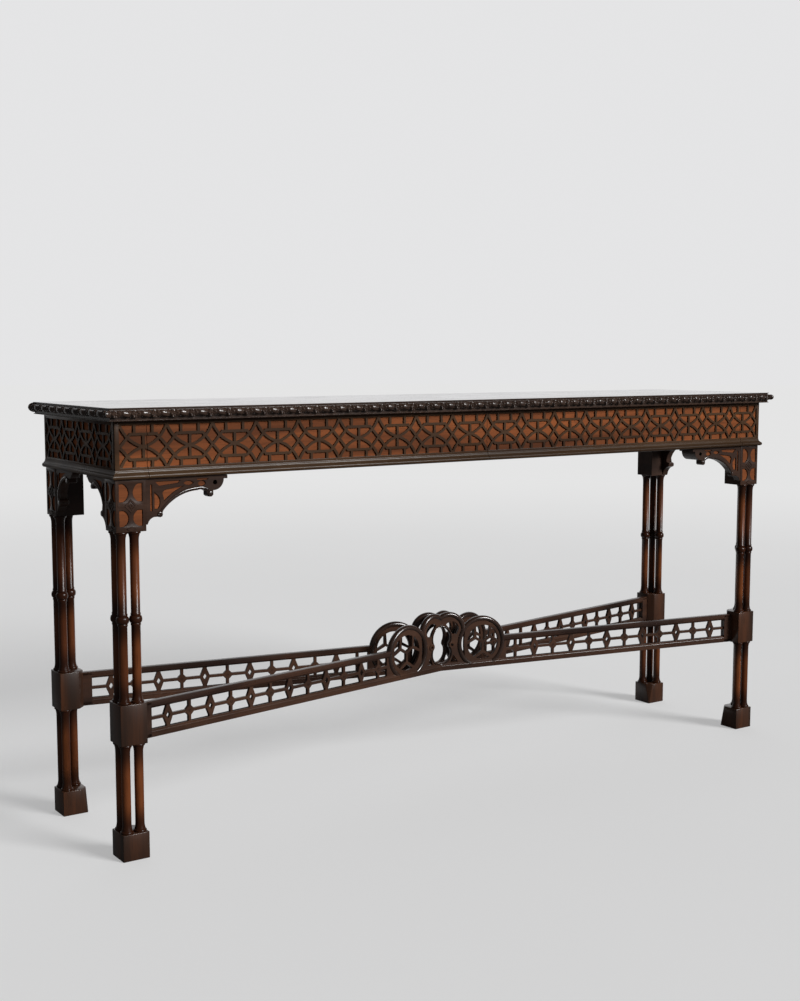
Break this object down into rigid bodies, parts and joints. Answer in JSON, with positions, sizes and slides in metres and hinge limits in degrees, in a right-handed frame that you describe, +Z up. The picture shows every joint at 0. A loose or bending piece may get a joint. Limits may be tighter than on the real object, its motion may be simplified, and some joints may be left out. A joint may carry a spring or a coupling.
{
  "type": "pier table",
  "caption": "Long narrow pier table with a carved top edge, frieze drawers behind blind frets, clustered column legs and crossed pierced stretchers with a crest at the middle.",
  "frame": {"origin": "on the floor, under the middle of the table", "axes": "+X along the table's length to the right of someone who faces its drawers, +Y from the drawer fronts to the plain back, +Z up"},
  "size_m": [1.802, 0.426, 0.875],
  "materials": {
    "polished_top": "french polished mahogany",
    "dark_mahogany": "dark waxed mahogany",
    "column_mahogany": "polished red-brown mahogany, darker at the ends",
    "fret_mahogany": "blind fret over an orange-brown ground",
    "drawer_oak": "plain unpolished oak",
    "inner_wood": "plain unpolished wood"
  },
  "bodies": {
    "frame": {"apron_back": "inner_wood", "apron_left": "dark_mahogany", "apron_right": "dark_mahogany", "bead_left": "dark_mahogany", "bead_right": "dark_mahogany", "bracket_front_left": "dark_mahogany", "bracket_front_right": "dark_mahogany", "bracket_side_left_front": "dark_mahogany", "bracket_side_left_rear": "dark_mahogany", "bracket_side_right_front": "dark_mahogany", "bracket_side_right_rear": "dark_mahogany", "drawer_divider": "inner_wood", "fret_left": "fret_mahogany", "fret_right": "fret_mahogany", "front_rail_lower": "inner_wood", "front_rail_upper": "inner_wood", "glue_blocks": "inner_wood", "leg_block_front_left": "dark_mahogany", "leg_block_front_right": "dark_mahogany", "leg_block_rear_left": "dark_mahogany", "leg_block_rear_right": "dark_mahogany", "leg_columns_front_left": "column_mahogany", "leg_columns_front_right": "column_mahogany", "leg_columns_rear_left": "column_mahogany", "leg_columns_rear_right": "column_mahogany", "leg_foot_front_left": "dark_mahogany", "leg_foot_front_right": "dark_mahogany", "leg_foot_rear_left": "dark_mahogany", "leg_foot_rear_right": "dark_mahogany", "leg_post_front_left": "dark_mahogany", "leg_post_front_right": "dark_mahogany", "leg_post_rear_left": "dark_mahogany", "leg_post_rear_right": "dark_mahogany", "runner_left_inner": "inner_wood", "runner_left_outer": "inner_wood", "runner_right_inner": "inner_wood", "runner_right_outer": "inner_wood", "stretcher_front_left": "dark_mahogany", "stretcher_front_right": "dark_mahogany", "stretcher_rear_left": "dark_mahogany", "stretcher_rear_right": "dark_mahogany", "top_board": "polished_top", "top_moulding_back": "dark_mahogany", "top_moulding_front": "dark_mahogany", "top_moulding_left": "dark_mahogany", "top_moulding_right": "dark_mahogany"},
    "drawer_left": {"drawer_left_back": "drawer_oak", "drawer_left_bead": "dark_mahogany", "drawer_left_bottom": "drawer_oak", "drawer_left_fret": "fret_mahogany", "drawer_left_front": "dark_mahogany", "drawer_left_side_inner": "drawer_oak", "drawer_left_side_outer": "drawer_oak"},
    "drawer_right": {"drawer_right_back": "drawer_oak", "drawer_right_bead": "dark_mahogany", "drawer_right_bottom": "drawer_oak", "drawer_right_fret": "fret_mahogany", "drawer_right_front": "dark_mahogany", "drawer_right_side_inner": "drawer_oak", "drawer_right_side_outer": "drawer_oak"}
  },
  "joints": [
    {"name": "drawer_left_slide", "type": "slide", "parent": "frame", "child": "drawer_left", "axis": [0, -1, 0], "range_m": [0, 0.24]},
    {"name": "drawer_right_slide", "type": "slide", "parent": "frame", "child": "drawer_right", "axis": [0, -1, 0], "range_m": [0, 0.24]}
  ]
}
